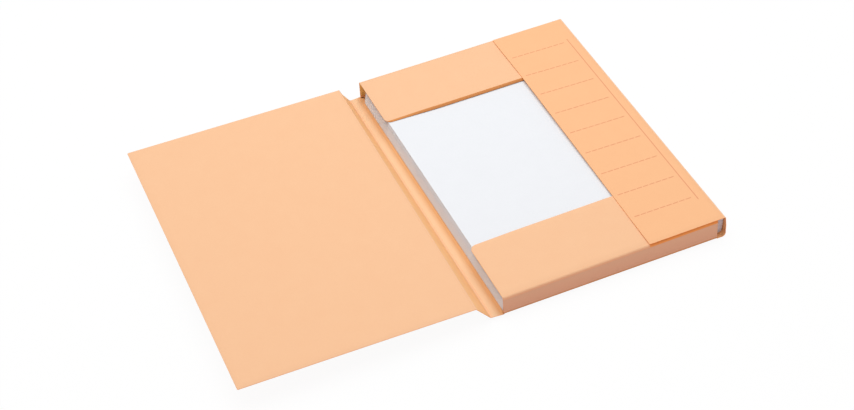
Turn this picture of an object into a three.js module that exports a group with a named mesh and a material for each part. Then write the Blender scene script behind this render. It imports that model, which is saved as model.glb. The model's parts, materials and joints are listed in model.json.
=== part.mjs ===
// Three-flap folder, laid open round a stack of loose A4 sheets. The folder is one die-cut sheet of
// card, so each panel between two creases is a solid of its own, turned about the crease it hangs on.
// Millimetres, +Z up. The origin is the centre of the back panel's underside. +X runs to the fore
// edge, +Y to the head, and the cover lies open towards -X.

import * as THREE from 'three';

// Card
const CARD_THICKNESS = 0.4;
const CREASE_GAP = 0.3; // free width between two panels that meet square at a crease
const CUT_CORNER_RADIUS = 1; // outer corners left by the cutting die
const CORNER_SEGMENTS = 6; // straight steps in each rounded corner
const CARD_COLOR = 0xf9caa0;
const CARD_ROUGHNESS = 0.9;

// Stack of loose A4 sheets, in bundles that lean a little towards the fore edge
const SHEET_WIDTH = 210;
const SHEET_LENGTH = 297;
const STACK_HEIGHT = 17.2;
const BUNDLE_COUNT = 5;
const BUNDLE_GAP = 0.3;
const STACK_LEAN = 1.2; // how far the top bundle lies further in than the bottom one
const PAPER_COLOR = 0xf2f4f8;
const PAPER_ROUGHNESS = 0.85;

// Room that the folder leaves round the stack
const SHEET_SPINE_CLEARANCE = 1; // from the spine crease to the bottom bundle
const SHEET_FORE_CLEARANCE = 0.4; // from the top bundle to the fore-edge wall
const SHEET_HEAD_CLEARANCE = 10; // from the sheets to the wall at the head
const SHEET_TAIL_CLEARANCE = 2.2; // from the sheets to the wall at the tail, where they are knocked up
const SHEET_TOP_CLEARANCE = 0.3; // from the top sheet to the end flaps

// Walls and flaps at the head and the tail
const END_FLAP_DEPTH = 66.5;
const END_FLAP_CORNER_RADIUS = 6;
const END_SPINE_CLEARANCE = 0.8; // between the spine crease and the ends of these walls and flaps
const END_FORE_CLEARANCE = 7.3; // between those ends and the fore-edge crease
const END_WALL_TAPER = 1.3; // how much further back a wall's fore end is cut at the table
const MITRE_MARGIN = 4.4; // keeps a hidden mitre inside the 45 degree line from the box corner

// Wall and flap at the fore edge, which folds over the two others
const FORE_FLAP_WIDTH = 74;

// Spine: a strip flat on the table, then a strip that rises to the cover
const SPINE_BASE_WIDTH = 10.7;
const SPINE_RISER_WIDTH = 20;
const SPINE_RISER_ANGLE = 56; // degrees above the table
const SPINE_CREASE_GAP = 0.4; // from a slanting crease to the edge of each panel on it

// Cover
const COVER_FORE_MARGIN = 4.7; // how much narrower than the back panel the cover is
const COVER_TILT = 1.3; // degrees above the table, rising away from the spine

// Sizes that follow from the ones above: the back panel is as wide and long as the sheets ask, the
// end flaps lie just over the stack, and the fore-edge flap lies just over the end flaps.
const stackBase = CARD_THICKNESS + CREASE_GAP;
const topSheetFore = SHEET_SPINE_CLEARANCE + STACK_LEAN + SHEET_WIDTH;
const backWidth = topSheetFore + SHEET_FORE_CLEARANCE + CARD_THICKNESS;
const sheetTailY = CARD_THICKNESS + SHEET_TAIL_CLEARANCE;
const backLength = sheetTailY + SHEET_LENGTH + SHEET_HEAD_CLEARANCE + CARD_THICKNESS;
const endWallHeight = stackBase + STACK_HEIGHT + SHEET_TOP_CLEARANCE + CARD_THICKNESS;
const foreWallHeight = endWallHeight + CREASE_GAP + CARD_THICKNESS;
const overlapLength = backLength - 2 * (CARD_THICKNESS + CREASE_GAP);
const coverWidth = backWidth - COVER_FORE_MARGIN;

function cardMaterial() {
  return new THREE.MeshStandardMaterial({ color: CARD_COLOR, roughness: CARD_ROUGHNESS, metalness: 0 });
}

function paperMaterial() {
  return new THREE.MeshStandardMaterial({ color: PAPER_COLOR, roughness: PAPER_ROUGHNESS, metalness: 0 });
}

function named(name, geometry, material) {
  const mesh = new THREE.Mesh(geometry, material);
  mesh.name = name;
  return mesh;
}

// A flat panel of card cut to an outline, its lower face at local z = 0.
function cutPanel(name, outline) {
  const geometry = new THREE.ExtrudeGeometry(outline, {
    depth: CARD_THICKNESS,
    bevelEnabled: false,
    curveSegments: CORNER_SEGMENTS,
  });
  return named(name, geometry, cardMaterial());
}

// An outline with straight sides through corners [x, y, radius], taken counter-clockwise.
function roundedOutline(corners) {
  const outline = new THREE.Shape();
  corners.forEach(([x, y, radius], i) => {
    const corner = new THREE.Vector2(x, y);
    const [px, py] = corners[(i + corners.length - 1) % corners.length];
    const [nx, ny] = corners[(i + 1) % corners.length];
    const back = new THREE.Vector2(px, py).sub(corner).normalize();
    const ahead = new THREE.Vector2(nx, ny).sub(corner).normalize();
    const halfAngle = Math.acos(back.dot(ahead)) / 2;
    const reach = radius / Math.tan(halfAngle);
    const start = corner.clone().addScaledVector(back, reach);
    if (i === 0) {
      outline.moveTo(start.x, start.y);
    } else {
      outline.lineTo(start.x, start.y);
    }
    if (radius > 0) {
      const inward = back.clone().add(ahead).normalize();
      const centre = corner.clone().addScaledVector(inward, radius / Math.sin(halfAngle));
      const end = corner.clone().addScaledVector(ahead, reach);
      const from = start.clone().sub(centre).angle();
      const to = end.clone().sub(centre).angle();
      outline.absarc(centre.x, centre.y, radius, from, to, false);
    }
  });
  outline.closePath();
  return outline;
}

// The panel that lies on the table and carries the stack and the walls.
function backPanel() {
  const outline = roundedOutline([
    [0, 0, 0],
    [backWidth, 0, 0],
    [backWidth, backLength, 0],
    [0, backLength, 0],
  ]);
  return cutPanel('back_panel', outline);
}

// The strip between the back panel and the first spine crease, flat on the table.
function spineBaseStrip() {
  const width = SPINE_BASE_WIDTH - CARD_THICKNESS - CREASE_GAP - SPINE_CREASE_GAP;
  const strip = named(
    'spine_base_strip',
    new THREE.BoxGeometry(width, backLength, CARD_THICKNESS),
    cardMaterial(),
  );
  const nearEdge = -(CARD_THICKNESS + CREASE_GAP);
  strip.position.set(nearEdge - width / 2, backLength / 2, CARD_THICKNESS / 2);
  return strip;
}

// The strip that rises from the first spine crease to the cover's crease.
function spineRiserStrip() {
  const width = SPINE_RISER_WIDTH - 2 * SPINE_CREASE_GAP;
  const strip = named(
    'spine_riser_strip',
    new THREE.BoxGeometry(width, backLength, CARD_THICKNESS),
    cardMaterial(),
  );
  strip.position.set(-SPINE_CREASE_GAP - width / 2, backLength / 2, CARD_THICKNESS / 2);
  return strip;
}

// The cover, short enough at both ends to pass between the two end flaps when they stand open.
function frontCover() {
  const halfLength = overlapLength / 2;
  const outline = roundedOutline([
    [-coverWidth, -halfLength, CUT_CORNER_RADIUS],
    [-SPINE_CREASE_GAP, -halfLength, 0],
    [-SPINE_CREASE_GAP, halfLength, 0],
    [-coverWidth, halfLength, CUT_CORNER_RADIUS],
  ]);
  const cover = cutPanel('front_cover', outline);
  cover.position.set(0, backLength / 2, -CARD_THICKNESS / 2);
  return cover;
}

// The riser and the cover, each turned about its own crease.
function coverAssembly() {
  const riserFold = new THREE.Group();
  riserFold.position.set(-SPINE_BASE_WIDTH, 0, 0);
  riserFold.rotation.y = THREE.MathUtils.degToRad(SPINE_RISER_ANGLE);
  riserFold.add(spineRiserStrip());
  const coverFold = new THREE.Group();
  coverFold.position.set(-SPINE_RISER_WIDTH, 0, CARD_THICKNESS / 2);
  coverFold.rotation.y = THREE.MathUtils.degToRad(COVER_TILT - SPINE_RISER_ANGLE);
  coverFold.add(frontCover());
  riserFold.add(coverFold);
  return riserFold;
}

// The wall at the head or the tail, drawn flat and stood up; end is 1 at the head and -1 at the tail.
function endWall(name, end) {
  const top = endWallHeight - CARD_THICKNESS - CREASE_GAP;
  const topX = backWidth - END_FORE_CLEARANCE;
  const outline = roundedOutline([
    [END_SPINE_CLEARANCE, stackBase, 0],
    [topX - END_WALL_TAPER, stackBase, 0],
    [topX, top, 0],
    [END_SPINE_CLEARANCE, top, 0],
  ]);
  const wall = cutPanel(name, outline);
  wall.rotation.x = Math.PI / 2;
  wall.position.y = end > 0 ? backLength : CARD_THICKNESS;
  return wall;
}

// The flap at the head or the tail: a round corner at the spine, and a mitre hidden at the fore edge.
function endFlap(name, end) {
  const creaseX = backWidth - END_FORE_CLEARANCE;
  const mitreDepth = END_FORE_CLEARANCE - MITRE_MARGIN;
  const mitreX = backWidth - MITRE_MARGIN - END_FLAP_DEPTH;
  const corners = [
    [END_SPINE_CLEARANCE, 0, 0],
    [creaseX, 0, 0],
    [creaseX, mitreDepth, 0],
    [mitreX, END_FLAP_DEPTH, 0],
    [END_SPINE_CLEARANCE, END_FLAP_DEPTH, END_FLAP_CORNER_RADIUS],
  ];
  const placed = end < 0 ? corners : corners.map(([x, y, r]) => [x, backLength - y, r]).reverse();
  const flap = cutPanel(name, roundedOutline(placed));
  flap.position.z = endWallHeight - CARD_THICKNESS;
  return flap;
}

// The wall along the fore edge.
function foreEdgeWall() {
  const height = foreWallHeight - CARD_THICKNESS - CREASE_GAP - stackBase;
  const wall = named(
    'fore_edge_wall',
    new THREE.BoxGeometry(CARD_THICKNESS, overlapLength, height),
    cardMaterial(),
  );
  wall.position.set(backWidth - CARD_THICKNESS / 2, backLength / 2, stackBase + height / 2);
  return wall;
}

// The flap along the fore edge, folded last, over the two end flaps.
function foreEdgeFlap() {
  const tailEdge = (backLength - overlapLength) / 2;
  const headEdge = tailEdge + overlapLength;
  const freeEdge = backWidth - FORE_FLAP_WIDTH;
  const outline = roundedOutline([
    [freeEdge, tailEdge, CUT_CORNER_RADIUS],
    [backWidth, tailEdge, 0],
    [backWidth, headEdge, 0],
    [freeEdge, headEdge, CUT_CORNER_RADIUS],
  ]);
  const flap = cutPanel('fore_edge_flap', outline);
  flap.position.z = foreWallHeight - CARD_THICKNESS;
  return flap;
}

// One bundle of loose sheets; the bundles lie on each other, each a little further in.
function paperBundle(index) {
  const height = (STACK_HEIGHT - (BUNDLE_COUNT - 1) * BUNDLE_GAP) / BUNDLE_COUNT;
  const shift = STACK_LEAN * index / (BUNDLE_COUNT - 1);
  const bundle = named(
    `paper_bundle_${index + 1}`,
    new THREE.BoxGeometry(SHEET_WIDTH, SHEET_LENGTH, height),
    paperMaterial(),
  );
  bundle.position.set(
    SHEET_SPINE_CLEARANCE + shift + SHEET_WIDTH / 2,
    sheetTailY + SHEET_LENGTH / 2,
    stackBase + index * (height + BUNDLE_GAP) + height / 2,
  );
  return bundle;
}

const folder = new THREE.Group();
folder.position.set(-backWidth / 2, -backLength / 2, 0);
folder.add(backPanel());
folder.add(spineBaseStrip());
folder.add(coverAssembly());
folder.add(endWall('head_wall', 1));
folder.add(endFlap('head_flap', 1));
folder.add(endWall('tail_wall', -1));
folder.add(endFlap('tail_flap', -1));
folder.add(foreEdgeWall());
folder.add(foreEdgeFlap());
for (let index = 0; index < BUNDLE_COUNT; index += 1) {
  folder.add(paperBundle(index));
}

const part = new THREE.Group();
part.add(folder);

export default part;
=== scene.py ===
# Three-flap folder of peach-orange card, lying open round a stack of loose A4 sheets. Lengths are
# in metres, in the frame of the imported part: +X to the fore edge, +Y to the head and +Z up.

import json
import math
import random

import bmesh
import bpy
from mathutils import Matrix, Vector


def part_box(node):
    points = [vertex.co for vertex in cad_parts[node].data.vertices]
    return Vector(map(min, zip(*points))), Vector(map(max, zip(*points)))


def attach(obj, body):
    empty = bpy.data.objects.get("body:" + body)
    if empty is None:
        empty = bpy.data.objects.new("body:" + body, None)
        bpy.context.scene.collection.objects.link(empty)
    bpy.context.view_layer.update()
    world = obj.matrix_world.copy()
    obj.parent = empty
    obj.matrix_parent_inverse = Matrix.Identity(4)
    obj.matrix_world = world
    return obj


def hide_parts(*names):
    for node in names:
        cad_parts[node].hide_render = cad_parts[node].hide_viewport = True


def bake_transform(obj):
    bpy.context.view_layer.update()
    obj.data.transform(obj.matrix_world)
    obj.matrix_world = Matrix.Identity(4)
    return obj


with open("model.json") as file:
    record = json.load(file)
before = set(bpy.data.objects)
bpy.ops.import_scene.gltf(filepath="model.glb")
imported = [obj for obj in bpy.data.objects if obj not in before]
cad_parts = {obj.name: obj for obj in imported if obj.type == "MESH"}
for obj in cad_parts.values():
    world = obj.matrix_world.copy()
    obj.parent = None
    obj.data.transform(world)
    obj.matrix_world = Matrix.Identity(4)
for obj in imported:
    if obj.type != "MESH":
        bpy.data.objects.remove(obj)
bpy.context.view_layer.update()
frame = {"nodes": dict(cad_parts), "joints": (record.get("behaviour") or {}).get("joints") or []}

scene = bpy.context.scene
scene.view_settings.view_transform = "Standard"


# Camera. It stands beyond the tail edge, a little to the left, and looks down on the open folder.
# The lens is for a sensor 36 mm wide, on a picture of 854 by 410 pixels.
camera_azimuth = math.radians(-21.811)
camera_elevation = math.radians(44.004)
camera_roll = math.radians(-3.322)
camera_distance = 1.5603
camera_target = Vector((-0.10943, -0.0076, 0.0))
camera_lens = 73.958
sensor_width = 36

to_camera = Vector((
    math.sin(camera_azimuth) * math.cos(camera_elevation),
    -math.cos(camera_azimuth) * math.cos(camera_elevation),
    math.sin(camera_elevation),
))
level_right = (-to_camera).cross(Vector((0, 0, 1))).normalized()
level_up = level_right.cross(-to_camera)
camera_right = math.cos(camera_roll) * level_right + math.sin(camera_roll) * level_up
camera_up = math.cos(camera_roll) * level_up - math.sin(camera_roll) * level_right
camera_data = bpy.data.cameras.new("camera")
camera_data.lens = camera_lens
camera_data.sensor_width = sensor_width
camera = bpy.data.objects.new("camera", camera_data)
camera_turn = Matrix((camera_right, camera_up, to_camera)).transposed().to_4x4()
camera.matrix_world = Matrix.Translation(camera_target + to_camera * camera_distance) @ camera_turn
scene.collection.objects.link(camera)
scene.camera = camera


# Light and table. A warm sky gives the fill, and one large soft lamp over the head edge gives a
# cooler key, so the tail wall is in half shade. The table is white to the camera and pale pink to
# the card. It lies a little low, because flaps that are opened flat spring below the back panel.
sky_strength = 0.43
sky_colour = (1.12, 0.96, 0.90)
lamp_power = 18.1
lamp_size = 1.8
lamp_colour = (0.90, 1.0, 1.03)
lamp_place = Vector((-0.03, 0.28, 1.4))
table_colour = (0.92, 0.68, 0.68)
table_shadow_share = 0.06
table_half = 6.0
table_z = -0.0034


def seen_directly(tree):
    """A factor that is 1 for camera rays and for what is seen in a reflection or through glass."""
    path = tree.nodes.new("ShaderNodeLightPath")
    glossy = tree.nodes.new("ShaderNodeMath")
    glossy.operation = "MAXIMUM"
    tree.links.new(path.outputs["Is Camera Ray"], glossy.inputs[0])
    tree.links.new(path.outputs["Is Glossy Ray"], glossy.inputs[1])
    through = tree.nodes.new("ShaderNodeMath")
    through.operation = "MAXIMUM"
    tree.links.new(glossy.outputs[0], through.inputs[0])
    tree.links.new(path.outputs["Is Transmission Ray"], through.inputs[1])
    return through.outputs[0]


world = bpy.data.worlds.new("sky")
scene.world = world
world.use_nodes = True
sky = world.node_tree
sky.nodes.clear()
sky_fill = sky.nodes.new("ShaderNodeBackground")
sky_fill.inputs["Color"].default_value = (*sky_colour, 1)
sky_fill.inputs["Strength"].default_value = sky_strength
sky_white = sky.nodes.new("ShaderNodeBackground")
sky_white.inputs["Color"].default_value = (1, 1, 1, 1)
sky_white.inputs["Strength"].default_value = 1.0
sky_mix = sky.nodes.new("ShaderNodeMixShader")
sky.links.new(seen_directly(sky), sky_mix.inputs[0])
sky.links.new(sky_fill.outputs[0], sky_mix.inputs[1])
sky.links.new(sky_white.outputs[0], sky_mix.inputs[2])
sky_out = sky.nodes.new("ShaderNodeOutputWorld")
sky.links.new(sky_mix.outputs[0], sky_out.inputs["Surface"])

lamp_data = bpy.data.lights.new("soft_lamp", "AREA")
lamp_data.shape = "DISK"
lamp_data.size = lamp_size
lamp_data.energy = lamp_power
lamp_data.color = lamp_colour
lamp = bpy.data.objects.new("soft_lamp", lamp_data)
lamp.location = lamp_place
lamp.rotation_mode = "QUATERNION"
lamp.rotation_quaternion = (-lamp_place).to_track_quat("-Z", "Y")
scene.collection.objects.link(lamp)

table_mesh = bpy.data.meshes.new("table")
table_corners = [
    (-table_half, -table_half, table_z),
    (table_half, -table_half, table_z),
    (table_half, table_half, table_z),
    (-table_half, table_half, table_z),
]
table_mesh.from_pydata(table_corners, [], [(0, 1, 2, 3)])
table = bpy.data.objects.new("table", table_mesh)
scene.collection.objects.link(table)
table_finish = bpy.data.materials.new("white_table")
table_finish.use_nodes = True
tops = table_finish.node_tree
tops.nodes.clear()
table_fill = tops.nodes.new("ShaderNodeBsdfDiffuse")
table_fill.inputs["Color"].default_value = (*table_colour, 1)
table_lit = tops.nodes.new("ShaderNodeBsdfDiffuse")
table_lit.inputs["Color"].default_value = (1, 1, 1, 1)
table_white = tops.nodes.new("ShaderNodeEmission")
table_white.inputs["Strength"].default_value = 1.0
table_seen = tops.nodes.new("ShaderNodeMixShader")
table_seen.inputs[0].default_value = table_shadow_share
tops.links.new(table_white.outputs[0], table_seen.inputs[1])
tops.links.new(table_lit.outputs[0], table_seen.inputs[2])
table_mix = tops.nodes.new("ShaderNodeMixShader")
tops.links.new(seen_directly(tops), table_mix.inputs[0])
tops.links.new(table_fill.outputs[0], table_mix.inputs[1])
tops.links.new(table_seen.outputs[0], table_mix.inputs[2])
table_out = tops.nodes.new("ShaderNodeOutputMaterial")
tops.links.new(table_mix.outputs[0], table_out.inputs["Surface"])
table_mesh.materials.append(table_finish)


# Back panel: the largest panel of the one die-cut sheet of card, flat under the sheets. Stiff
# uncoated card, dyed through. Its cut edges are a deeper orange, part dye and part painted shade.
back_low, back_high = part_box("back_panel")
card = back_high.z - back_low.z
crease = {joint["name"]: Vector(joint["pos_m"]) for joint in frame["joints"]}
card_colour = (0.922, 0.542, 0.318)
card_pale = (0.937, 0.570, 0.341)
card_edge_and_shade_colour = (0.98, 0.40, 0.11)
card_painted_shade_colour = (0.940, 0.500, 0.230)
card_roughness = 0.92
card_gloss = 0.18
cloud_scale = 70
fibre_scale = 1500
fleck_from = 0.56
fleck_full = 0.74
fleck_share = 0.35
fleck_shade = 0.86
tooth_depth = 0.00006
smooth_tooth = 0.25
deep_tooth = 0.3
cut_tooth = 0.5
cut_bevel = 0.00006
panel_cell = 0.006
level_normal = 0.95
rim_turn = 0.5
sharp_turn = math.radians(50)


def card_finish(name, colour, pale, tooth, deepening=None):
    """Matt dyed card: a cloudy formation, fine fibres that lie every way, and a faint tooth.
    deepening is a deeper colour, painted shade, and the two places between which it grows along X."""
    made = bpy.data.materials.new(name)
    made.use_nodes = True
    tree = made.node_tree
    shader = tree.nodes["Principled BSDF"]
    shader.inputs["Roughness"].default_value = card_roughness
    shader.inputs["Specular IOR Level"].default_value = card_gloss
    place = tree.nodes.new("ShaderNodeTexCoord").outputs["Object"]
    clouds = tree.nodes.new("ShaderNodeTexNoise")
    clouds.inputs["Scale"].default_value = cloud_scale
    clouds.inputs["Detail"].default_value = 4
    clouds.inputs["Roughness"].default_value = 0.6
    tree.links.new(place, clouds.inputs["Vector"])
    formation = tree.nodes.new("ShaderNodeMix")
    formation.data_type = "RGBA"
    formation.inputs["A"].default_value = (*colour, 1)
    formation.inputs["B"].default_value = (*pale, 1)
    tree.links.new(clouds.outputs["Fac"], formation.inputs["Factor"])
    fibres = tree.nodes.new("ShaderNodeTexNoise")
    fibres.inputs["Scale"].default_value = fibre_scale
    fibres.inputs["Detail"].default_value = 3
    fibres.inputs["Distortion"].default_value = 1.5
    tree.links.new(place, fibres.inputs["Vector"])
    flecks = tree.nodes.new("ShaderNodeMapRange")
    flecks.inputs["From Min"].default_value = fleck_from
    flecks.inputs["From Max"].default_value = fleck_full
    flecks.inputs["To Max"].default_value = fleck_share
    tree.links.new(fibres.outputs["Fac"], flecks.inputs["Value"])
    speckled = tree.nodes.new("ShaderNodeMix")
    speckled.data_type = "RGBA"
    speckled.inputs["B"].default_value = (*(part * fleck_shade for part in colour), 1)
    tree.links.new(flecks.outputs["Result"], speckled.inputs["Factor"])
    tree.links.new(formation.outputs["Result"], speckled.inputs["A"])
    finished = speckled
    if deepening:
        deep_colour, deep_from, deep_to = deepening
        axes = tree.nodes.new("ShaderNodeSeparateXYZ")
        tree.links.new(place, axes.inputs["Vector"])
        growth = tree.nodes.new("ShaderNodeMapRange")
        growth.inputs["From Min"].default_value = deep_from
        growth.inputs["From Max"].default_value = deep_to
        tree.links.new(axes.outputs["X"], growth.inputs["Value"])
        finished = tree.nodes.new("ShaderNodeMix")
        finished.data_type = "RGBA"
        finished.inputs["B"].default_value = (*deep_colour, 1)
        tree.links.new(growth.outputs["Result"], finished.inputs["Factor"])
        tree.links.new(speckled.outputs["Result"], finished.inputs["A"])
    tree.links.new(finished.outputs["Result"], shader.inputs["Base Color"])
    relief = tree.nodes.new("ShaderNodeBump")
    relief.inputs["Strength"].default_value = tooth
    relief.inputs["Distance"].default_value = tooth_depth
    tree.links.new(fibres.outputs["Fac"], relief.inputs["Height"])
    tree.links.new(relief.outputs["Normal"], shader.inputs["Normal"])
    return made


card_face = card_finish("dyed_card", card_colour, card_pale, smooth_tooth)
# Cut edges: a deeper orange, part the dye and part painted shade of the gaps along the edges.
card_cut_and_shade = card_finish("dyed_card_cut_edge_and_painted_shade", card_edge_and_shade_colour, card_edge_and_shade_colour, cut_tooth)
# A deeper orange copy of the card, painted shade for parts in creases, at wall feet and under the
# sheets.
card_painted_shade = card_finish("dyed_card_painted_shade", card_painted_shade_colour, card_painted_shade_colour, deep_tooth)


def round_corners(corners, steps=6):
    """The outline through corners (x, y, radius), each rounded by an arc of its own radius."""
    outline = []
    for i, (x, y, radius) in enumerate(corners):
        corner = Vector((x, y))
        if radius == 0:
            outline.append(corner)
            continue
        back = (Vector(corners[i - 1][:2]) - corner).normalized()
        ahead = (Vector(corners[(i + 1) % len(corners)][:2]) - corner).normalized()
        half = back.angle(ahead) / 2
        centre = corner + (back + ahead).normalized() * radius / math.sin(half)
        start = corner + back * radius / math.tan(half) - centre
        sweep = start.angle_signed(corner + ahead * radius / math.tan(half) - centre)
        for step in range(steps + 1):
            outline.append(centre + Matrix.Rotation(-sweep * step / steps, 2) @ start)
    return outline


def cut_panel(name, corners, place, rows=(), in_painted_shade=lambda u, v: False):
    """A slab cut to an outline in a grid of cells, with extra rows at places along v. place(u, v, w)
    sets a point w above its back, and its last argument says where its face takes painted shade."""
    outline = round_corners(corners)
    sheet = bmesh.new()
    sheet.faces.new([sheet.verts.new((u, v, 0)) for u, v in outline])
    for axis in (0, 1):
        low = min(point[axis] for point in outline)
        high = max(point[axis] for point in outline)
        count = max(1, round((high - low) / panel_cell))
        stops = [low + (high - low) * step / count for step in range(1, count)]
        if axis == 1:
            stops += rows
        for stop in stops:
            at = Vector((0, 0, 0))
            at[axis] = stop
            across = Vector((0, 0, 0))
            across[axis] = 1
            everything = sheet.verts[:] + sheet.edges[:] + sheet.faces[:]
            bmesh.ops.bisect_plane(sheet, geom=everything, plane_co=at, plane_no=across)
    raised = bmesh.ops.extrude_face_region(sheet, geom=sheet.faces[:])["geom"]
    for vertex in raised:
        if isinstance(vertex, bmesh.types.BMVert):
            vertex.co.z += card
    bmesh.ops.recalc_face_normals(sheet, faces=sheet.faces[:])
    rim = [
        edge for edge in sheet.edges
        if len(edge.link_faces) == 2
        and abs(abs(edge.link_faces[0].normal.z) - abs(edge.link_faces[1].normal.z)) > rim_turn
    ]
    bmesh.ops.bevel(sheet, geom=rim, offset=cut_bevel, segments=2, affect="EDGES", profile=0.5)
    for face in sheet.faces:
        middle = face.calc_center_median()
        is_level = abs(face.normal.z) > level_normal
        face.material_index = 0 if is_level and not in_painted_shade(middle.x, middle.y) else 1
        face.smooth = True
    for vertex in sheet.verts:
        vertex.co = place(*vertex.co)
    bmesh.ops.recalc_face_normals(sheet, faces=sheet.faces[:])
    if sheet.calc_volume(signed=True) < 0:
        bmesh.ops.reverse_faces(sheet, faces=sheet.faces[:])
    mesh = bpy.data.meshes.new(name)
    sheet.to_mesh(mesh)
    sheet.free()
    mesh.set_sharp_from_angle(angle=sharp_turn)
    panel = bpy.data.objects.new(name, mesh)
    scene.collection.objects.link(panel)
    return panel


def dress(piece, body, node, *finishes):
    """Gives a piece its finishes, and lets it stand for a node on a body."""
    for finish in finishes:
        piece.data.materials.append(finish)
    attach(piece, body)
    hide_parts(node)


def eased(value):
    """0 below 0 and 1 above 1, with a level start and a level end."""
    value = min(max(value, 0.0), 1.0)
    return value * value * (3 - 2 * value)


crease_lead = 0.0006
end_fold_radius = 0.0009
fore_fold_radius = 0.0034
spine_crease_half = 0.0012


def fold_reach(along_a, along_b, radius):
    """How far from the corner of a fold its round part and its short flat lead reach."""
    return radius / math.tan(along_a.angle(along_b) / 2) + crease_lead


square_fold = (Vector((-1, 0)), Vector((0, 1)))
end_reach = fold_reach(*square_fold, end_fold_radius)
fore_reach = fold_reach(*square_fold, fore_fold_radius)
half_card = card / 2
end_wall_low, end_wall_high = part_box("tail_wall")
end_flap_low, end_flap_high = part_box("tail_flap")
fore_flap_low, fore_flap_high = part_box("fore_edge_flap")
wall_foot_x = min(
    vertex.co.x for vertex in frame["nodes"]["tail_wall"].data.vertices
    if vertex.co.x > 0 and vertex.co.z < end_wall_low.z + half_card
)
back_spine_x = back_low.x + spine_crease_half
back_fore_x = back_high.x - half_card - fore_reach
back_fold_y = back_high.y - half_card - end_reach
fore_tail_overhang = 0.0007


def back_half(overhang):
    """The tail half of the back panel's outline; overhang lengthens its fore edge."""
    return [
        (back_spine_x, -back_high.y, 0),
        (end_wall_low.x, -back_high.y, 0),
        (end_wall_low.x, -back_fold_y, 0),
        (wall_foot_x, -back_fold_y, 0),
        (wall_foot_x, -back_high.y, 0),
        (back_fore_x, fore_flap_low.y - overhang, 0),
    ]


head_half = [(x, -y, radius) for x, y, radius in reversed(back_half(0))]
back_outline = back_half(fore_tail_overhang) + head_half
end_top = end_flap_high.z - half_card
foot_stands_out = 0.0020
foot_skew = 0.0011
head_stands_out = 0.0005
head_splay = 0.0003


def leaned(x, y, z):
    """Moves the foot of the tail end outwards, and the spine corner of the head end out both ways."""
    strip = crease["spine_base_crease"].x - crease["spine_riser_crease"].x
    held = min(1.0, max(0.0, (x - crease["spine_riser_crease"].x) / strip))
    stands_out = (foot_stands_out + foot_skew * x / back_high.x) * max(0.0, 1 - z / end_top) * held
    at_corner = max(0.0, -x / back_high.x) * held
    headward = max(0.0, y / back_high.y)
    tailward = max(0.0, -y / back_high.y)
    return Vector((
        x - head_splay * at_corner * headward ** 2,
        y + head_stands_out * at_corner * headward - stands_out * tailward,
        z,
    ))


back_panel = cut_panel("back_panel_card", back_outline, leaned)
# The back panel takes the deeper orange painted shade, as it lies under the sheets.
dress(back_panel, "back", "back_panel", card_painted_shade, card_cut_and_shade)


# Spine: two strips of the same card between the back panel and the cover, one flat and one rising
# from it, with three creases pressed in by the die. They bend, so each fold is a soft strip. The
# rising strip is twisted, steeper at the head, and so the cover lies a little askew.
riser_radius = 0.0022
riser_twist = math.radians(4.33)
riser_straight = 0.010
riser_bounce_colour = (1.000, 0.578, 0.278)
riser_bounce_pale = (1.000, 0.596, 0.296)
base_lit_colour = (0.920, 0.590, 0.358)
base_lit_pale = (0.935, 0.618, 0.380)
stack_shade_colour = (0.930, 0.490, 0.225)
stack_shade_from = 0.003
flat_fold_steps = 8
cover_radius = 0.0012
cover_low, cover_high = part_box("front_cover")
riser_limits = next(
    joint["range_deg"] for joint in frame["joints"] if joint["name"] == "spine_riser_crease"
)
riser_angle = -math.radians(riser_limits[0])
cover_tilt = math.asin((cover_high.z - cover_low.z - card) / (crease["cover_crease"].x - cover_low.x))
toward_spine = Vector((1, 0))
toward_riser = Vector((-1, 0))
up_riser = Vector((-math.cos(riser_angle), math.sin(riser_angle)))
along_cover = Vector((-math.cos(cover_tilt), math.sin(cover_tilt)))
cover_corner = Vector((crease["cover_crease"].x, crease["cover_crease"].z))
riser_length = (cover_corner.y - half_card) / up_riser.y
riser_corner = cover_corner - up_riser * riser_length
riser_reach = fold_reach(toward_spine, up_riser, riser_radius)
cover_reach = fold_reach(-up_riser, along_cover, cover_radius)


def fold_path(corner, along_a, along_b, reach, steps=12):
    """Points and directions along the middle of the card, from panel a round to panel b."""
    path = [(corner + along_a * reach, -along_a)]
    turn = (-along_a).angle_signed(along_b)
    half = along_a.angle(along_b) / 2
    radius = (reach - crease_lead) * math.tan(half)
    centre = corner + (along_a + along_b).normalized() * radius / math.sin(half)
    start = corner + along_a * radius / math.tan(half) - centre
    for step in range(steps + 1):
        swing = Matrix.Rotation(-turn * step / steps, 2)
        path.append((centre + swing @ start, swing @ -along_a))
    path.append((corner + along_b * reach, along_b))
    return path


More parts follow.
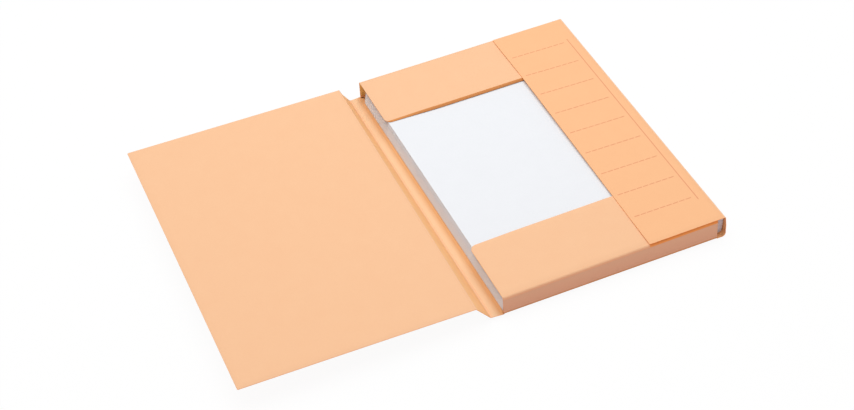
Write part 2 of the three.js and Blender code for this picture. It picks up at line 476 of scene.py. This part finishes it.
def fold_strip(
    name, path_at, place, span_a, span_b, face=card_face, in_painted_shade=lambda s: False,
):
    """The bent card at a crease, whose two sides span span_a and span_b. path_at(s) is
    its bend at s along the crease, place(p, q, s) sets a point of it, and its last argument, a test of
    s, says where it takes the cut-edge colour as painted shade."""
    count = max(1, round((span_a[1] - span_a[0]) / panel_cell))
    vertices = []
    for slice_index in range(count + 1):
        path = path_at(span_a[0] + (span_a[1] - span_a[0]) * slice_index / count)
        for side in (1, -1):
            for step in range(len(path))[::side]:
                point, direction = path[step]
                share = step / (len(path) - 1)
                low = span_a[0] + (span_b[0] - span_a[0]) * share
                high = span_a[1] + (span_b[1] - span_a[1]) * share
                off = Vector((-direction.y, direction.x)) * half_card * side
                along = low + (high - low) * slice_index / count
                vertices.append(place(point.x + off.x, point.y + off.y, along))
    ring = 2 * len(path)
    faces = []
    for slice_index in range(count):
        for k in range(ring):
            here = slice_index * ring + k
            beside = slice_index * ring + (k + 1) % ring
            faces.append((here, beside, beside + ring, here + ring))
    last = count * ring
    for k in range(len(path) - 1):
        faces.append((k, k + 1, ring - 2 - k, ring - 1 - k))
        faces.append((last + k, last + k + 1, last + ring - 2 - k, last + ring - 1 - k))
    mesh = bpy.data.meshes.new(name)
    mesh.from_pydata(vertices, [], faces)
    shape = bmesh.new()
    shape.from_mesh(mesh)
    bmesh.ops.recalc_face_normals(shape, faces=shape.faces[:])
    shape.to_mesh(mesh)
    shape.free()
    for polygon in mesh.polygons:
        polygon.use_smooth = True
        along = span_a[0] + (span_a[1] - span_a[0]) * (polygon.index // ring + 0.5) / count
        # The strip's end faces are its cut edges; faces picked by its last argument take the cut-edge
        # colour as painted shade.
        if polygon.index >= count * ring or in_painted_shade(along):
            polygon.material_index = 1
    mesh.set_sharp_from_angle(angle=sharp_turn)
    strip = bpy.data.objects.new(name, mesh)
    scene.collection.objects.link(strip)
    strip.data.materials.append(face)
    strip.data.materials.append(card_cut_and_shade)
    tip, tail = [place(*path_at(s)[len(path) // 2][0], s) for s in reversed(span_a)]
    start, end = [place(*path_at(0)[k][0], 0) for k in (0, -1)]
    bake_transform(strip)


def across_y(p, q, s):
    """A point of a fold whose crease runs from tail to head."""
    return leaned(p, s, q)


def across_x(p, q, s):
    """A point of a fold whose crease runs from the spine to the fore edge."""
    return leaned(s, p, q)


spine_span = (back_low.y, back_high.y)
cover_span = (cover_low.y, cover_high.y)
spine_x = crease["spine_base_crease"].x
spine_path = [
    (Vector((spine_x + spine_crease_half * (1 - 2 * step / flat_fold_steps), half_card)), toward_riser)
    for step in range(flat_fold_steps + 1)
]
# The crease beside the sheets takes the deeper orange painted shade.
fold_strip(
    "spine_fold_card", lambda s: spine_path, across_y, spine_span, spine_span,
    face=card_painted_shade,
)


def oblong(u_span, v_span, low_radius=0, high_radius=0):
    """A panel's four corners, with one radius where u is low and one where it is high."""
    return [
        (u_span[0], v_span[0], low_radius),
        (u_span[1], v_span[0], high_radius),
        (u_span[1], v_span[1], high_radius),
        (u_span[0], v_span[1], low_radius),
    ]


base_x = riser_corner.x + riser_reach
base_outline = oblong((base_x, spine_x - spine_crease_half), spine_span)
base_panel = cut_panel("spine_base_card", base_outline, leaned)
# The base strip is painted light, lighter and yellower than the card, and deepens to painted shade
# towards the foot of the sheets.
stack_shade_strip = (stack_shade_colour, base_x + stack_shade_from, spine_x)
base_painted_face = card_finish("dyed_card_base_painted_light_and_shade", base_lit_colour, base_lit_pale, smooth_tooth, stack_shade_strip)
dress(base_panel, "spine_base", "spine_base_strip", base_painted_face, card_cut_and_shade)


def riser_at(u, v):
    """A point up the riser and the way up there. Its head end is straight beside the box, so that it
    clears the flaps when it stands up, and bends to its twist above them."""
    straight, power = (riser_straight, 2) if v > 0 else (0, 1)
    share = max(0.0, u - straight) / (riser_length - straight)
    swing = riser_length * math.tan(riser_twist * v / spine_span[1])
    across = Vector((up_riser.y, -up_riser.x))
    point = riser_corner + up_riser * u + across * swing * share ** power
    way_up = up_riser + across * swing * power * share ** (power - 1) / (riser_length - straight)
    return point, way_up.normalized()


def riser_bend(v):
    """The fold between the flat strip and the riser."""
    return fold_path(riser_corner, toward_spine, riser_at(0, v)[1], riser_reach)


fold_strip("riser_fold_card", riser_bend, across_y, spine_span, spine_span)


def on_riser(u, v, w):
    """u up the riser from its lower crease, w from its underside."""
    point, way_up = riser_at(u, v)
    point += Vector((way_up.y, -way_up.x)) * (w - half_card)
    return Vector((point.x, v, point.y))


riser_outline = oblong((riser_reach, riser_length - cover_reach), spine_span)
riser_panel = cut_panel("spine_riser_card", riser_outline, on_riser)
# The riser is a brighter, more saturated orange than the card: painted light thrown between the card
# faces of the spine.
riser_bounce_face = card_finish("dyed_card_riser_painted_bounce", riser_bounce_colour, riser_bounce_pale, smooth_tooth)
dress(riser_panel, "spine_riser", "spine_riser_strip", riser_bounce_face, card_cut_and_shade)


def cover_crease(v):
    """The middle of the cover's crease, at the top of the twisted riser."""
    point = riser_at(riser_length, v)[0]
    return Vector((point.x, v, point.y))


def cover_bend(v):
    """The fold between the riser and the cover."""
    corner, way_up = riser_at(riser_length, v)
    return fold_path(corner, -way_up, along_cover, cover_reach)


fold_strip("cover_fold_card", cover_bend, across_y, spine_span, cover_span)


# Cover: a plain panel of the same card, held a little above the table by the stiff spine creases.
# It was trimmed a touch askew, longer at the tail, and it droops and twists slightly, as loose card
# does.
cover_twist = 0.0009
cover_wave = 0.0003
cover_droop = 0.0005
cover_short = 0.0020
cover_skew = 0.0034
cover_width = (cover_corner.x - cover_low.x) / math.cos(cover_tilt)
cover_corner_radius = 0.001
crease_way = (cover_crease(cover_span[1]) - cover_crease(cover_span[0])).normalized()
cover_out = Vector((along_cover.x, 0, along_cover.y))
cover_out = (cover_out - crease_way * cover_out.dot(crease_way)).normalized()
cover_up = crease_way.cross(cover_out)


def on_cover(u, v, w):
    """u out from the cover's crease, w from its underside."""
    share = u / cover_width
    side = v / cover_span[1]
    droop = (cover_twist * side + cover_droop) * share ** 2
    wave = cover_wave * side * math.sin(math.pi * share)
    reach = u * (1 - cover_short - cover_skew * side)
    return cover_crease(v) + cover_out * reach + cover_up * (w - half_card - droop - wave)


cover_outline = oblong((cover_reach, cover_width), cover_span, high_radius=cover_corner_radius)
cover_panel = cut_panel("front_cover_card", cover_outline, on_cover)
dress(cover_panel, "cover", "front_cover", card_face, card_cut_and_shade)


# Head and tail: a wall that stands at each end and a flap that lies over the sheets, with a round
# free corner at the spine and a mitre hidden under the fore-edge flap. Same card, two creases each.
# The flaps spring up off the sheets, less at the spine and where the fore-edge flap holds them.
flap_corner_radius = 0.006
wall_top_x = end_wall_high.x
mitre_x = max(
    vertex.co.x for vertex in frame["nodes"]["tail_flap"].data.vertices
    if vertex.co.y > end_flap_high.y - half_card
)
mitre_y = max(
    vertex.co.y for vertex in frame["nodes"]["tail_flap"].data.vertices
    if vertex.co.x > end_flap_high.x - half_card
)
held_width = fore_flap_high.x - fore_flap_low.x
spring_power = 1.5
spine_spring_share = 0.15
spine_spring_length = 0.05
head_top_radius = 0.0009
tail_top_radius = 0.0017
head_spring = 0.0022
tail_spring = 0.0009
lip_width = 0.0018
lip_steps = 4
lip_share = 0.84
lip_drop = 0.0002
lip_shade_colour = (0.740, 0.300, 0.100)
trim_length = 0.06
head_trim = 0.0018
head_growth = 0.0008
tail_wall_shade_colour = (0.845, 0.530, 0.345)
tail_wall_shade_pale = (0.858, 0.550, 0.360)
head_wall_colour = (1.000, 0.700, 0.270)
tail_foot_shade_colour = (0.690, 0.345, 0.115)


def build_end(
    side, end_name, wall_face, foot_face, flap_edge, top_radius, spring, lip=0, trim=0, growth=0,
):
    """side is 1 at the head and -1 at the tail; spring is how far the flap's free edge stands up, lip
    how much of that its turned-down edge takes back, growth how much further it reaches than the
    frame's flap, and trim how much shorter than that it is at the spine."""
    end_top_reach = fold_reach(*square_fold, top_radius)
    outer_y = side * (back_high.y - half_card)
    foot = Vector((outer_y, half_card))
    top = Vector((outer_y, end_top))
    inward = Vector((-side, 0))
    upward = Vector((0, 1))
    wall_span = (end_wall_low.x, wall_foot_x)
    flap_span = (end_flap_low.x, end_flap_high.x)
    foot_path = fold_path(foot, inward, upward, end_reach)
    fold_strip(
        f"{end_name}_foot_fold_card", lambda s: foot_path, across_x,
        wall_span, wall_span, face=foot_face,
    )
    wall_outline = [
        (wall_span[0], half_card + end_reach, 0),
        (wall_span[1], half_card + end_reach, 0),
        (wall_top_x, end_top - end_top_reach, 0),
        (wall_span[0], end_top - end_top_reach, 0),
    ]
    wall = cut_panel(
        f"{end_name}_wall_card",
        wall_outline,
        lambda x, z, w: leaned(x, outer_y + side * (w - half_card), z),
    )
    dress(wall, f"{end_name}_side", f"{end_name}_wall", wall_face, card_cut_and_shade)

    top_path = fold_path(top, -upward, inward, end_top_reach)
    fold_strip(
        f"{end_name}_top_fold_card", lambda s: top_path, across_x,
        # Under the fore-edge flap the top fold takes the cut-edge colour as painted shade of the flap.
        flap_span, flap_span, in_painted_shade=lambda s: s > fore_flap_low.x,
    )
    start = outer_y - side * end_top_reach
    free_y = side * min(abs(end_flap_high.y), abs(end_flap_low.y))
    depth = abs(start - free_y)

    def on_end_flap(x, y, w):
        """w from the flap's underside, which stands up more and more towards its free edge."""
        share = abs(start - y) / depth
        off_spine = eased((x - flap_span[0]) / spine_spring_length)
        free = spine_spring_share + (1 - spine_spring_share) * off_spine
        held = min(1.0, max(0.0, (fore_flap_high.x - x) / held_width)) ** spring_power
        lift = spring * free * held * share ** spring_power
        turned_down = lip * (lift + lip_drop) * max(0.0, 1 - (1 - share) * depth / lip_width) ** 2
        shorter = share * (trim * (1 - eased((x - flap_span[0]) / trim_length)) - growth)
        return leaned(x, y + side * shorter, end_top - half_card + w + lift - turned_down)

    flap_outline = [
        (flap_span[0], start, 0),
        (flap_span[1], start, 0),
        (flap_span[1], -side * mitre_y, 0),
        (mitre_x, -side * end_flap_high.y, 0),
        (flap_span[0], -side * end_flap_high.y, flap_corner_radius),
    ]
    lip_rows = [free_y + side * lip_width * step / lip_steps for step in range(1, lip_steps + 1)]
    flap = cut_panel(
        f"{end_name}_flap_card",
        flap_outline,
        on_end_flap,
        rows=lip_rows if lip else (),
        # Faces along the free edge take the turned-down edge's painted shade.
        in_painted_shade=lambda u, v: lip > 0 and abs(v - free_y) < lip_width,
    )
    dress(flap, f"{end_name}_top", f"{end_name}_flap", card_face, flap_edge)
    return wall


head_wall_face = card_finish("dyed_card_head_wall", head_wall_colour, head_wall_colour, smooth_tooth)
# The tail wall is a duller, darker copy of the card: painted shade for its half-shaded face.
tail_wall_shaded_face = card_finish("dyed_card_tail_wall_painted_shade", tail_wall_shade_colour, tail_wall_shade_pale, smooth_tooth)
# The head flap's turned-down edge is dark orange: painted shade, standing in for the shaded gap under
# its free edge.
lip_shaded_face = card_finish("dyed_card_turned_edge_painted_shade", lip_shade_colour, lip_shade_colour, deep_tooth)
# The tail foot fold is a dark brownish orange: painted shade where it meets the table.
tail_foot_shaded_face = card_finish("dyed_card_tail_foot_painted_shade", tail_foot_shade_colour, tail_foot_shade_colour, smooth_tooth)
# At the head the foot fold takes the deeper orange painted shade.
head_wall = build_end(
    1, "head", head_wall_face, card_painted_shade, lip_shaded_face, head_top_radius, head_spring, lip_share, head_trim,
    head_growth,
)
build_end(-1, "tail", tail_wall_shaded_face, tail_foot_shaded_face, card_cut_and_shade, tail_top_radius, tail_spring)

# The head wall's inner face is coloured golden, as the light thrown about between the card and the
# sheets makes it look. Its outer face is plain card.
head_wall.data.materials.append(card_face)
for polygon in head_wall.data.polygons:
    if polygon.material_index == 0 and polygon.normal.y > 0:
        polygon.material_index = 2


# Fore edge: a wall with a soft round foot that bows out a little, and the flap that is folded last,
# over the other two. It springs up off them, most towards the head, where they push it up too. Its
# printed face took the dye a little deeper.
fore_x = back_high.x - half_card
fore_top = fore_flap_high.z - half_card
fore_top_radius = 0.0010
fore_top_reach = fold_reach(*square_fold, fore_top_radius)
fore_wall_bulge = 0.0004
fold_shift = 0.00070
fold_shift_swing = 0.00008
fore_head_short = 0.0004
free_edge_shift = 0.00032
free_edge_swing = 0.00035
fore_spring_tail = 0.0005
fore_spring_most = 0.0020
fore_spring_head = 0.0003
fore_spring_peak_y = 0.085
fore_face_colour = (0.945, 0.512, 0.270)
fore_face_pale = (0.960, 0.538, 0.288)
fore_span = (fore_flap_low.y - fore_tail_overhang, fore_flap_high.y - fore_head_short)


def fore_lean(y, z):
    """How far the wall stands out at a place, more at its top and at the head."""
    return (fold_shift + fold_shift_swing * y / fore_span[1]) * z / fore_top


def on_fore_fold(p, q, s):
    """A point of either fold of the fore edge, s along it."""
    return leaned(p + fore_lean(s, q), s, q)


fore_foot_path = fold_path(Vector((fore_x, half_card)), *square_fold, fore_reach)
# The fore-edge foot fold and wall take the deeper orange painted shade.
fold_strip(
    "fore_edge_foot_fold_card", lambda s: fore_foot_path, on_fore_fold,
    fore_span, fore_span, face=card_painted_shade,
)
fore_wall_low = half_card + fore_reach
fore_wall_high = fore_top - fore_top_reach


def on_fore_wall(y, z, w):
    """w from the wall's inner face; the wall bows out between its folds."""
    share = (z - fore_wall_low) / (fore_wall_high - fore_wall_low)
    bulge = fore_wall_bulge * math.sin(math.pi * share) ** 2
    return leaned(fore_x - half_card + w + bulge + fore_lean(y, z), y, z)


fore_wall_outline = oblong(fore_span, (fore_wall_low, fore_wall_high))
fore_wall = cut_panel("fore_edge_wall_card", fore_wall_outline, on_fore_wall)
dress(fore_wall, "fore_edge_side", "fore_edge_wall", card_painted_shade, card_cut_and_shade)

fore_top_path = fold_path(Vector((fore_x, fore_top)), Vector((0, -1)), Vector((-1, 0)), fore_top_reach)
fold_strip(
    "fore_edge_top_fold_card", lambda s: fore_top_path, on_fore_fold,
    fore_span, fore_span,
)
fore_start_x = fore_x - fore_top_reach


def on_fore_flap(x, y, w):
    """w from the flap's underside, which stands up more and more towards its free edge."""
    share = max(0.0, (fore_start_x - x) / (fore_start_x - fore_flap_low.x))
    free_shift = free_edge_shift + free_edge_swing * y / fore_span[1]
    shift = fore_lean(y, fore_top) * (1 - share) + free_shift * share
    if y < fore_spring_peak_y:
        climb = eased((y - fore_span[0]) / (fore_spring_peak_y - fore_span[0]))
        spring = fore_spring_tail + (fore_spring_most - fore_spring_tail) * climb
    else:
        drop = eased((y - fore_spring_peak_y) / (fore_span[1] - fore_spring_peak_y))
        spring = fore_spring_most + (fore_spring_head - fore_spring_most) * drop
    return Vector((x + shift, y, fore_top - half_card + w + spring * share ** spring_power))


fore_flap_outline = oblong((fore_flap_low.x, fore_start_x), fore_span, low_radius=cover_corner_radius)
fore_flap = cut_panel("fore_edge_flap_card", fore_flap_outline, on_fore_flap)
fore_face = card_finish("dyed_card_printed_face", fore_face_colour, fore_face_pale, smooth_tooth)
dress(fore_flap, "fore_edge_top", "fore_edge_flap", fore_face, card_cut_and_shade)


# Printed rules on the fore-edge flap: nine dashed writing lines and one long line beside the fold,
# in a thin brownish ink. Plain ruling, with no words.
rule_count = 9
rule_pitch = 0.030
rule_first_y = -0.120
rule_start_x = 0.0368
dash_count = 9
dash_length = 0.00515
dash_gap = 0.0011
half_rule = 0.0004
rule_skew = -0.008
long_rule_x = 0.0968
long_rule_ends = (-0.125, 0.1233)
ink_above = 0.00002
ink_colour = (0.80, 0.32, 0.17)
rules = bmesh.new()


def print_bar(x0, x1, y0, y1, skew=0.0):
    """A bar of ink from corner to corner, as thin as print, in pieces that follow the card."""
    pieces = max(1, round(max(x1 - x0, y1 - y0) / panel_cell))
    rows = []
    for k in range(pieces + 1):
        share = k / pieces
        if x1 - x0 > y1 - y0:
            ends = [(x0 + (x1 - x0) * share, y0), (x0 + (x1 - x0) * share, y1)]
        else:
            ends = [(x1, y0 + (y1 - y0) * share), (x0, y0 + (y1 - y0) * share)]
        rows.append([
            rules.verts.new(on_fore_flap(x, y + (x - rule_start_x) * skew, card + height))
            for x, y in ends for height in (-ink_above, ink_above)
        ])
    for here, there in zip(rows, rows[1:]):
        for a, b in ((0, 1), (1, 3), (3, 2), (2, 0)):
            rules.faces.new((here[a], here[b], there[b], there[a]))
    for row in (rows[0], rows[-1]):
        rules.faces.new((row[0], row[1], row[3], row[2]))


for line in range(rule_count):
    line_y = rule_first_y + line * rule_pitch
    for dash in range(dash_count):
        dash_x = rule_start_x + dash * (dash_length + dash_gap)
        print_bar(dash_x, dash_x + dash_length, line_y - half_rule, line_y + half_rule, rule_skew)
print_bar(long_rule_x - half_rule, long_rule_x + half_rule, *long_rule_ends)
bmesh.ops.recalc_face_normals(rules, faces=rules.faces[:])
rules_mesh = bpy.data.meshes.new("printed_rules")
rules.to_mesh(rules_mesh)
rules.free()
printed_rules = bpy.data.objects.new("printed_rules", rules_mesh)
scene.collection.objects.link(printed_rules)
ink_face = card_finish("brown_ink_on_card", ink_colour, ink_colour, smooth_tooth)
printed_rules.data.materials.append(ink_face)
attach(printed_rules, "fore_edge_top")


# Loose sheets: about 165 sheets of white A4 copy paper in five bundles, never quite in line, so the
# sides of the stack show fine layers. They lie on the back panel inside the three walls, and their
# spine edges step back a little from the bottom sheet to the top one, more at the head.
sheet_thickness = 0.0000955
sheets_per_bundle = 33
sheet_shift = 0.00010
shift_limit = 2
sheet_cell = 0.021
stack_place = 0.00025
stack_skew = 0.00045
stack_lean = 0.00090
stack_lean_swing = 0.00020
paper_colour = (0.860, 0.875, 0.910)
paper_shade = (0.835, 0.850, 0.885)
paper_side_lit_colour = (0.900, 0.905, 0.945)
paper_side_lit_shade = (0.870, 0.875, 0.915)
paper_tooth = 0.12
paper_roughness = 0.85
sheet_random = random.Random(4)


def paper_finish(name, colour, shade):
    """Matt white copy paper with a faint cloudy formation and a fine tooth."""
    made = card_finish(name, shade, colour, paper_tooth)
    shader = made.node_tree.nodes["Principled BSDF"]
    shader.inputs["Roughness"].default_value = paper_roughness
    return made


paper_face = paper_finish("white_paper", paper_colour, paper_shade)
# The sides of the stack are lighter than the sheets' faces: painted light, as they stand in shade.
paper_side_painted_light = paper_finish("white_paper_sides_painted_light", paper_side_lit_colour, paper_side_lit_shade)
bundle_names = sorted(name for name in frame["nodes"] if name.startswith("paper_bundle"))
stack_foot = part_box(bundle_names[0])[0].z
stack_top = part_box(bundle_names[-1])[1].z
bundle_tops = [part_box(name)[0].z for name in bundle_names[1:]] + [stack_top]
for bundle_name, bundle_top in zip(bundle_names, bundle_tops):
    low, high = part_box(bundle_name)
    pitch = (bundle_top - low.z) / sheets_per_bundle
    across = max(1, round((high.x - low.x) / sheet_cell))
    along = max(1, round((high.y - low.y) / sheet_cell))
    vertices = []
    faces = []
    for sheet_index in range(sheets_per_bundle):
        base = len(vertices)
        shift_x = max(-shift_limit, min(shift_limit, sheet_random.gauss(0, 1))) * sheet_shift
        shift_y = sheet_random.gauss(0, 1) * sheet_shift
        floor_z = low.z + pitch * sheet_index
        height_share = (floor_z - stack_foot) / (stack_top - stack_foot)
        for level in (0, sheet_thickness):
            for j in range(along + 1):
                for i in range(across + 1):
                    y = low.y + (high.y - low.y) * j / along + shift_y
                    x = low.x + (high.x - low.x) * i / across + stack_place + shift_x
                    x -= stack_skew * y / high.y
                    x += (stack_lean + stack_lean_swing * y / high.y) * height_share * (1 - i / across)
                    vertices.append((x, y, floor_z + level))
        layer = (across + 1) * (along + 1)
        for j in range(along):
            for i in range(across):
                a = base + j * (across + 1) + i
                b = a + 1
                c = b + across + 1
                d = a + across + 1
                faces.append((a, d, c, b))
                faces.append((a + layer, b + layer, c + layer, d + layer))
        loop = [base + i for i in range(across + 1)]
        loop += [base + j * (across + 1) + across for j in range(1, along + 1)]
        loop += [base + along * (across + 1) + i for i in range(across - 1, -1, -1)]
        loop += [base + j * (across + 1) for j in range(along - 1, 0, -1)]
        for k, here in enumerate(loop):
            beside = loop[(k + 1) % len(loop)]
            faces.append((here, beside, beside + layer, here + layer))
    sheets_mesh = bpy.data.meshes.new(f"{bundle_name}_sheets")
    sheets_mesh.from_pydata(vertices, [], faces)
    sheets = bpy.data.objects.new(f"{bundle_name}_sheets", sheets_mesh)
    scene.collection.objects.link(sheets)
    for polygon in sheets_mesh.polygons:
        polygon.material_index = 0 if abs(polygon.normal.z) > 0.5 else 1
    dress(sheets, "back", bundle_name, paper_face, paper_side_painted_light)
